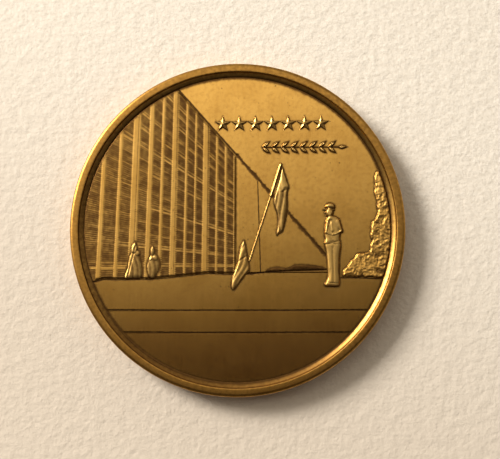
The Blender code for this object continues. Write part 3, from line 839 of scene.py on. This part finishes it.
def close_below(shell, top, sides, floor, inward):
    """Walls from a patch's open sides down to a floor, and the floor. inward turns it into a pit."""
    ids, flat = np.unique(sides, return_inverse=True)
    flat = flat.reshape(-1, 2)
    upper = top[ids]
    lower = upper.copy()
    lower[:, 2] = floor
    n = len(ids)
    a, b = flat[:, 0], flat[:, 1]
    quads = np.r_[np.c_[a, a + n, b], np.c_[b, a + n, b + n]]
    low = bmesh.new()
    verts = [low.verts.new(p) for p in lower]
    edges = [low.edges.new((verts[i], verts[j])) for i, j in {tuple(sorted(s)) for s in flat.tolist()}]
    bmesh.ops.triangle_fill(low, use_beauty=False, use_dissolve=False, edges=edges, normal=(0, 0, 1))
    low.verts.index_update()
    caps = []
    for face in low.faces:
        i, j, k = (v.index for v in face.verts)
        u, v = lower[j] - lower[i], lower[k] - lower[i]
        up = u[0] * v[1] - u[1] * v[0] > 0
        caps.append((i, j, k) if up == inward else (k, j, i))
    low.free()
    points = np.concatenate([upper, lower])
    faces = np.concatenate([quads, np.array(caps, int).reshape(-1, 3) + n])
    normals = np.tile((0.0, 0.0, 1.0 if inward else -1.0), (2 * n, 1))
    shell.add(points, normals, np.ones(2 * n), faces)


def new_object(name, data):
    """An object in the scene, made from a mesh, a lamp or a camera."""
    made = bpy.data.objects.new(name, data)
    bpy.context.scene.collection.objects.link(made)
    return made


def put_object(name, shell, level, flip):
    """The finished mesh as an object in the frame: heights are above level, and flip turns it over."""
    points, normals, dark, faces = shell.placed(level, flip)
    mesh = bpy.data.meshes.new(name)
    mesh.from_pydata((points * UNIT).tolist(), [], faces.tolist())
    mesh.shade_smooth()
    # This attribute holds the stain left in hollows together with painted shade on flanks and coves that face
    # away from the lamp
    attribute = mesh.attributes.new("antique_and_painted_shade", "FLOAT", "POINT")
    attribute.data.foreach_set("value", dark.astype(np.float32))
    layer = mesh.uv_layers.new(name="OFBake")
    corner = np.empty(len(mesh.loops), np.int32)
    mesh.loops.foreach_get("vertex_index", corner)
    low = points[:, :2].min(axis=0)
    span = (points[:, :2].max(axis=0) - low).max()
    layer.data.foreach_set("uv", ((points[:, :2] - low) / span)[corner].astype(np.float32).ravel())
    mesh.normals_split_custom_set_from_vertices(normals.tolist())
    return new_object(name, mesh)


# The cove from the field up to the rim: share of its run, share of its height
COVE = (
    (0.1, 0.03), (0.2, 0.075), (0.3, 0.125), (0.4, 0.178), (0.5, 0.235), (0.6, 0.295), (0.7, 0.36),
    (0.8, 0.435), (0.88, 0.52), (0.93, 0.63), (0.97, 0.79), (0.995, 0.93),
)
BEVEL_WIDTH = 0.30
BEVEL_HEIGHT = 0.22
DENTS = 30


def rim_profile():
    """The coin's section from the obverse field over the rim and down the side to the reverse field."""
    upper = [(FIELD_RADIUS, OBVERSE_LEVEL)]
    for share, rise in COVE:
        upper.append((FIELD_RADIUS + WALL_RUN * share, OBVERSE_LEVEL + (TOP - OBVERSE_LEVEL) * rise))
    for share in np.linspace(0.02, 0.68, 14):
        shoulder = 0.02 * max(0.0, 1 - share / 0.14) ** 2
        upper.append((RIM_INNER + share, TOP - 0.004 - 0.045 * (share - 0.22) ** 2 - shoulder))
    bevel_foot = TOP - 0.028 - BEVEL_HEIGHT
    for a in np.radians(np.linspace(78, 0, 10)):
        across = DRAWN_RADIUS - BEVEL_WIDTH + BEVEL_WIDTH * math.cos(a)
        upper.append((across, bevel_foot + BEVEL_HEIGHT * math.sin(a)))
    sides = [(DRAWN_RADIUS, z) for z in np.linspace(bevel_foot - 0.2, TOP - bevel_foot + 0.2, 6)]
    shift = OBVERSE_LEVEL - (TOP - REVERSE_LEVEL)
    lower = [(r, TOP - z + (shift if r <= FIELD_RADIUS else 0.0)) for r, z in reversed(upper)]
    return upper + sides + lower


def rim_wear(radius, z, angle):
    """How far small dents and unevenness take the rim inwards."""
    rng = np.random.default_rng(7)
    spreads = ((0.0, math.tau), (0.0, TOP), (0.002, 0.007))
    dents = np.zeros_like(angle)
    for spot, height, deep in zip(*(rng.uniform(low, high, DENTS) for low, high in spreads)):
        turn = (angle - spot + math.pi) % math.tau - math.pi
        dents += deep * np.exp(-((turn * radius / 0.16) ** 2) - ((z - height) / 0.22) ** 2)
    return dents + 0.006 * (1 + np.sin(5 * angle + 0.8)) * 0.5


def add_rim(shell):
    """The rims and the side, turned about the coin's axis. Their coves keep stain at their foot, and painted
    shade all round that is heaviest on the left, where the cove faces away from the lamp.
    """
    profile = np.array(rim_profile())
    ring = np.c_[np.cos(RING_ANGLES), np.sin(RING_ANGLES), np.ones(RING_STEPS)]
    tangent = np.gradient(profile, axis=0)
    tangent = tangent / np.hypot(*tangent.T)[:, None]
    points = []
    normals = []
    dark = []
    for (r, z), (rise, outward) in zip(profile, tangent[:, ::-1]):
        across = r if r < RIM_INNER + 0.3 else r - rim_wear(r, z, RING_ANGLES)
        points.append(ring * np.c_[across + 0 * RING_ANGLES, across + 0 * RING_ANGLES, z + 0 * RING_ANGLES])
        normals.append(ring * (-rise, -rise, outward))
        low = 1 - smooth(0.0, 0.35, min(abs(z - OBVERSE_LEVEL), abs(z - REVERSE_LEVEL)))
        # Stain at the cove's foot, and painted shade that grows towards the left, where the cove faces away
        # from the lamp
        inside = np.maximum(0.75 * low, 0.26 + 0.22 * (1 - np.cos(RING_ANGLES)))
        dark.append(inside if r < RIM_INNER else np.full(RING_STEPS, 0.5))
    faces = []
    i = np.arange(RING_STEPS)
    j = (i + 1) % RING_STEPS
    for a in range(0, (len(profile) - 1) * RING_STEPS, RING_STEPS):
        b = a + RING_STEPS
        faces.append(np.c_[a + i, b + i, b + j])
        faces.append(np.c_[a + i, b + j, a + j])
    shell.add(np.concatenate(points), np.concatenate(normals), np.concatenate(dark), np.concatenate(faces))


# How much painted shade the slopes that face the lower right, away from the lamp, are given
LEE_PAINTED_SHADE = 0.74


def build_face(face, grooves, level, flip, planchet):
    """All the pieces of one side, and its field added to the planchet."""
    p, faces = triangulate(face_points(face, grooves))
    h, owner, dark, _ = face.sample(p)
    normals = slopes_to_normals(face, p)
    # Painted shade: slopes that face the lower right, away from the lamp, are darkened as if in shadow
    away_from_lamp = 0.85 * normals[:, 0] - 0.5 * normals[:, 1]
    dark = np.maximum(dark, LEE_PAINTED_SHADE * smooth(0.12, 0.40, away_from_lamp))
    edge = length_of(p) > FIELD_RADIUS - 0.001
    normals[edge] = (0, 0, 1)
    h[edge] = 0.0
    face_owner = face.sample(p[faces].mean(axis=1))[1]
    solid = np.c_[p, h]

    def patch(chosen):
        """The surface of some of the triangles, as a new shell."""
        shell = Shell()
        ids, flat = np.unique(chosen, return_inverse=True)
        shell.add(solid[ids], normals[ids], dark[ids], flat.reshape(-1, 3))
        return shell

    made = {}
    for i, (name, _, _, _) in enumerate(face.devices):
        found = np.flatnonzero(face_owner == i)
        own = found[in_largest(faces[found])]
        face_owner[found] = -1
        face_owner[own] = i
        shell = patch(faces[own])
        close_below(shell, solid, open_edges(faces[own]), DEVICE_FLOOR, False)
        made[name] = put_object(name + "_relief", shell, level, flip)
    field = faces[face_owner == -1]
    sides = open_edges(field)
    pit = Shell()
    close_below(pit, solid, sides[~edge[sides].all(axis=1)], PIT_FLOOR, True)
    for shell in (patch(field), pit):
        planchet.add(*shell.placed(level, flip))
    return made


def in_largest(faces):
    """Which triangles are in the largest connected patch: the others are stray specks."""
    size = int(faces.max()) + 1
    label = np.arange(size)
    while True:
        lowest = label[faces].min(axis=1)
        before = label.copy()
        for k in range(3):
            np.minimum.at(label, faces[:, k], lowest)
        label = label[label]
        if (label == before).all():
            break
    groups, counts = np.unique(label[faces[:, 0]], return_counts=True)
    return label[faces[:, 0]] == groups[counts.argmax()]


# --- bronze

def node(tree, kind, **values):
    """A shader node with its inputs or properties set."""
    made = tree.nodes.new(kind)
    for key, value in values.items():
        if key in made.inputs:
            made.inputs[key].default_value = value
        else:
            setattr(made, key, value)
    return made


def feed(socket, value):
    """Link a socket to another, or set it to a constant."""
    if isinstance(value, bpy.types.NodeSocket):
        socket.id_data.links.new(value, socket)
    else:
        socket.default_value = value


def mix_colour(factor, first, second):
    """A colour mix of sockets or constants, by a factor socket."""
    made = node(factor.id_data, "ShaderNodeMix", data_type="RGBA")
    for i, value in ((0, factor), (6, first), (7, second)):
        feed(made.inputs[i], value)
    return made.outputs[2]


def ramp(value, low, high, out_low=0.0, out_high=1.0):
    """A value carried from one range to another, smoothly."""
    made = node(value.id_data, "ShaderNodeMapRange", interpolation_type="SMOOTHSTEP")
    for i, given in enumerate((value, low, high, out_low, out_high)):
        feed(made.inputs[i], given)
    return made.outputs["Result"]


def maths(operation, a, b=0.0):
    """One arithmetic step on a socket and a socket or number."""
    made = node(a.id_data, "ShaderNodeMath", operation=operation)
    feed(made.inputs[0], a)
    feed(made.inputs[1], b)
    return made.outputs[0]


def times(a, b):
    """The product of a socket and a socket or number."""
    return maths("MULTIPLY", a, b)


def plus(a, b):
    """The sum of a socket and a socket or number."""
    return maths("ADD", a, b)


def rest(a):
    """What is left of one when a socket is taken away."""
    return plus(times(a, -1.0), 1.0)


def vector_maths(operation, vector, constant, value="Vector"):
    """One step on a vector socket and a constant vector."""
    made = node(vector.id_data, "ShaderNodeVectorMath", operation=operation)
    feed(made.inputs[0], vector)
    made.inputs[1].default_value = constant
    return made.outputs[value]


def axis(place, name):
    """One coordinate of a place socket."""
    split = node(place.id_data, "ShaderNodeSeparateXYZ")
    feed(split.inputs["Vector"], place)
    return split.outputs[name]


def noise(place, scale, detail=3.0, stretch=(1, 1, 1)):
    """Noise with features of about 1/scale drawing millimetres, stretched along the axes."""
    spot = vector_maths("MULTIPLY", place, [s * scale / UNIT for s in stretch])
    made = node(place.id_data, "ShaderNodeTexNoise", Scale=1.0, Detail=detail)
    feed(made.inputs["Vector"], spot)
    return made.outputs["Fac"]


def blank_material(name):
    """A new material, its shader, and the place on the object as a socket."""
    material = bpy.data.materials.new(name)
    material.use_nodes = True
    tree = material.node_tree
    return material, tree.nodes["Principled BSDF"], node(tree, "ShaderNodeTexCoord").outputs["Object"]


def add_bump(shader, height, strength, depth):
    """Fine relief of a given depth on a shader, from a height socket."""
    bump = node(height.id_data, "ShaderNodeBump", Strength=strength, Distance=depth * UNIT)
    feed(bump.inputs["Height"], height)
    feed(shader.inputs["Normal"], bump.outputs["Normal"])


def bronze(name, light, deep, roughness):
    """Antique bronze: brushed and mottled metal, a dark stain where it was left with painted shade mixed into
    it, painted shade towards the foot of the design, and rubbed high places.
    """
    material, shader, place = blank_material(name)
    # The stain in hollows, with painted shade on flanks and coves that face away from the lamp
    antique_and_painted_shade = node(material.node_tree, "ShaderNodeAttribute", attribute_name="antique_and_painted_shade").outputs["Fac"]
    clouds = noise(place, 0.28, 4.0)
    mottle = noise(place, 2.2, 5.0)
    grain = noise(place, 9.0, 3.0)
    strokes = noise(place, 6.5, 3.0, (1.0, 0.045, 1.0))
    specks = noise(place, 3.4, 1.0)

    flat = vector_maths("MULTIPLY", place, (1.0, 1.0, 0.0))
    radius = vector_maths("LENGTH", flat, (0.0, 0.0, 0.0), "Value")
    on_rim = ramp(radius, (RIM_INNER - 0.1) * UNIT, (RIM_INNER + 0.1) * UNIT)
    off_field = ramp(radius, FIELD_RADIUS * UNIT, (FIELD_RADIUS + 0.2) * UNIT)
    middle = TOP / 2 * UNIT
    from_middle = maths("ABSOLUTE", plus(axis(place, "Z"), -middle))
    high = (OBVERSE_LEVEL + 0.14) * UNIT - middle
    rubbed = times(ramp(from_middle, high, high + 0.16 * UNIT, 0.0, 0.4), ramp(mottle, 0.35, 0.6))
    rubbed = times(rubbed, rest(off_field))

    ragged = plus(antique_and_painted_shade, times(plus(mottle, -0.5), 0.5))
    dark = maths("MAXIMUM", ramp(ragged, 0.12, 0.95), ramp(specks, 0.735, 0.77, 0.0, 0.7))
    # Painted shade: the metal darkens towards the foot of the design, except on the rim
    painted_foot_shade = times(ramp(axis(place, "Y"), -5.0 * UNIT, -17.0 * UNIT, 0.0, 0.4), rest(on_rim))

    duller = (deep[0] * 0.7, deep[1] * 0.62, deep[2] * 0.55, 1)
    metal = mix_colour(ramp(clouds, 0.35, 0.68), light, deep)
    metal = mix_colour(ramp(mottle, 0.42, 0.72, 0.0, 0.30), metal, duller)
    metal = mix_colour(ramp(strokes, 0.35, 0.7, 0.0, 0.10), metal, (0.86, 0.58, 0.20, 1))
    metal = mix_colour(rubbed, metal, (0.86, 0.60, 0.22, 1))
    metal = mix_colour(painted_foot_shade, metal, (0.46, 0.20, 0.055, 1))
    metal = mix_colour(times(on_rim, 0.45), metal, (0.74, 0.37, 0.07, 1))
    patina = mix_colour(mottle, (0.064, 0.0285, 0.0085, 1), (0.132, 0.066, 0.022, 1))
    feed(shader.inputs["Base Color"], mix_colour(dark, metal, patina))

    rough = plus(times(dark, 0.06), roughness)
    effects = ((plus(mottle, -0.5), 0.08), (plus(strokes, -0.5), 0.04), (off_field, 0.12), (rubbed, -0.08))
    for cause, effect in effects:
        rough = plus(rough, times(cause, effect))
    feed(shader.inputs["Roughness"], rough)
    shader.inputs["Metallic"].default_value = 1.0
    add_bump(shader, plus(times(strokes, 0.03), times(grain, 0.35)), 0.4, 0.004)
    return material


# --- stage

# How far a direction leans from straight up where the room's light starts, is full, peaks and has faded
WORLD_START = 0.030
WORLD_STOP = 0.200
WORLD_PEAK = 0.29
WORLD_END = 0.50
WORLD_DARK = (0.0190, 0.0088, 0.0065)
WORLD_BRIGHT = (1.0, 0.89, 0.70)
WORLD_STRENGTH = 1.05
BACKDROP = (0.74, 0.69, 0.62, 1)

WINDOW_DISTANCE = 640.0
WINDOW_SIZE = 229.0
WINDOW_POWER = 47.5e5
WINDOW_COLOUR = (1.0, 0.91, 0.79)
CAMERA_DISTANCE = 150.0
FRAME_WIDTH = 59.01


def paper():
    """Warm white paper with a soft tooth and small pits, and painted shade that makes it duller towards its
    lower left.
    """
    material, shader, place = blank_material("pale_paper")
    fibres = noise(place, 0.8, 4.0)
    tooth = noise(place, 2.2, 2.0)
    slant = plus(axis(place, "Y"), times(axis(place, "X"), 0.4))
    # Painted shade: the sheet darkens towards its lower left, and its pits fade out there
    foot = ramp(slant, 28.0 * UNIT, -28.0 * UNIT)
    pits = times(ramp(noise(place, 2.6, 3.0), 0.52, 0.68, 0.0, 0.45), rest(foot))
    colour = mix_colour(ramp(tooth, 0.3, 0.7), (0.90, 0.86, 0.80, 1), (0.96, 0.93, 0.88, 1))
    colour = mix_colour(foot, colour, (0.775, 0.71, 0.635, 1))
    feed(shader.inputs["Base Color"], mix_colour(pits, colour, (0.70, 0.655, 0.59, 1)))
    shader.inputs["Roughness"].default_value = 0.9
    shader.inputs["Specular IOR Level"].default_value = 0.2
    add_bump(shader, plus(fibres, times(tooth, 0.35)), 0.5, 0.36)
    return material


def add_floor(low):
    """The pale sheet the coin lies on."""
    half = 20 * DRAWN_RADIUS * UNIT
    mesh = bpy.data.meshes.new("floor")
    corners = [(-half, -half, low), (half, -half, low), (half, half, low), (-half, half, low)]
    mesh.from_pydata(corners, [], [(0, 1, 2, 3)])
    mesh.materials.append(paper())
    new_object("floor", mesh)


def toward(azimuth, elevation):
    """A unit direction: azimuth 0 is -Y and turns towards +X, elevation is above the table."""
    a, e = math.radians(azimuth), math.radians(elevation)
    return Vector((math.sin(a) * math.cos(e), -math.cos(a) * math.cos(e), math.sin(e)))


def add_window():
    """The one lamp: a soft square one that faces the coin from the upper left."""
    data = bpy.data.lights.new("window", "AREA")
    data.shape = "SQUARE"
    data.size = WINDOW_SIZE * UNIT
    data.energy = WINDOW_POWER * UNIT * UNIT
    data.color = WINDOW_COLOUR
    lamp = new_object("window", data)
    direction = toward(236.0, 37.0)
    lamp.location = direction * WINDOW_DISTANCE * UNIT
    lamp.rotation_euler = direction.to_track_quat("Z", "Y").to_euler()


def room_glow(direction):
    """How bright the room is in a direction: most towards the top of the design, less at the right."""
    height = maths("MAXIMUM", axis(direction, "Z"), 0.2)
    ahead = plus(times(axis(direction, "Y"), 0.995), times(axis(direction, "X"), -0.10))
    lean = maths("DIVIDE", ahead, height)
    aside = maths("DIVIDE", axis(direction, "X"), height)
    rise = ramp(lean, WORLD_STOP, WORLD_PEAK, 1.0, 1.7)
    fade = ramp(lean, WORLD_PEAK, WORLD_END, 1.0, 0.32)
    glow = times(ramp(lean, WORLD_START, WORLD_STOP), times(rise, fade))
    glow = times(glow, ramp(aside, -0.05, 0.25, 1.0, 0.45))
    glow = plus(glow, ramp(lean, -0.9, -0.4, 0.08, 0.0))
    return plus(glow, ramp(aside, 0.5, 1.2, 0.0, 0.2))


def add_world():
    """A warm room that lights the coin, with a plain pale backdrop where the camera sees past the sheet."""
    world = bpy.data.worlds.new("room")
    world.use_nodes = True
    bpy.context.scene.world = world
    tree = world.node_tree
    shine = node(tree, "ShaderNodeVectorMath", operation="SCALE")
    shine.inputs[0].default_value = WORLD_BRIGHT
    feed(shine.inputs["Scale"], room_glow(node(tree, "ShaderNodeTexCoord").outputs["Generated"]))
    room = tree.nodes["Background"]
    room.inputs["Strength"].default_value = WORLD_STRENGTH
    feed(room.inputs["Color"], vector_maths("ADD", shine.outputs[0], WORLD_DARK))
    backdrop = node(tree, "ShaderNodeBackground", Color=BACKDROP)
    seen = node(tree, "ShaderNodeMixShader")
    by_camera = node(tree, "ShaderNodeLightPath").outputs["Is Camera Ray"]
    for i, given in enumerate((by_camera, room.outputs[0], backdrop.outputs[0])):
        feed(seen.inputs[i], given)
    feed(tree.nodes["World Output"].inputs["Surface"], seen.outputs[0])


def add_camera(high):
    """The camera, a little off the coin's axis towards the foot of the design and to its right."""
    data = bpy.data.cameras.new("camera")
    data.sensor_width = 36.0
    data.lens = data.sensor_width * CAMERA_DISTANCE / FRAME_WIDTH
    data.clip_start = 0.001
    camera = new_object("camera", data)
    back = toward(16.0, 83.0)
    across = Vector((0, 1, 0)).cross(back).normalized()
    up = back.cross(across)
    aim = Vector((0, 0, high)) + across * 1.55 * UNIT - up * 0.21 * UNIT
    spot = aim + back * CAMERA_DISTANCE * UNIT
    camera.matrix_world = Matrix.Translation(spot) @ Matrix((across, up, back)).transposed().to_4x4()
    bpy.context.scene.camera = camera


# --- everything

# Each bronze: its light and deep colours and its roughness
BRONZES = {
    "field_bronze": ((0.69, 0.410, 0.105, 1), (0.61, 0.350, 0.085, 1), 0.175),
    "device_bronze": ((0.66, 0.43, 0.140, 1), (0.58, 0.36, 0.105, 1), 0.36),
    "shaded_bronze": ((0.70, 0.42, 0.115, 1), (0.61, 0.35, 0.085, 1), 0.38),
}


def plain_ground(p):
    """The reverse field, without grooves."""
    return np.zeros(len(p)), np.zeros(len(p))


def build_coin():
    """Every piece of the coin, each standing for its CAD node."""
    planchet = Shell()
    made = build_face(Face(obverse_ground, obverse_devices()), GROOVES, OBVERSE_LEVEL, False, planchet)
    made.update(build_face(Face(plain_ground, reverse_devices()), (), REVERSE_LEVEL, True, planchet))
    add_rim(planchet)
    made["planchet"] = put_object("planchet_body", planchet, 0.0, False)
    slots = {name: bronze(name, *look) for name, look in BRONZES.items()}
    wanted = {row["node"]: row["material_slot"] for row in frame["record"]["subparts"]}
    for name, obj in made.items():
        obj.data.materials.append(slots[wanted[name]])
        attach(obj, "root")
        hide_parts(name)


build_coin()
add_floor(PLANCHET_LOW[2] - 0.01 * UNIT)
add_world()
add_window()
add_camera(PLANCHET_HIGH[2])
bpy.context.scene.view_settings.view_transform = "Standard"
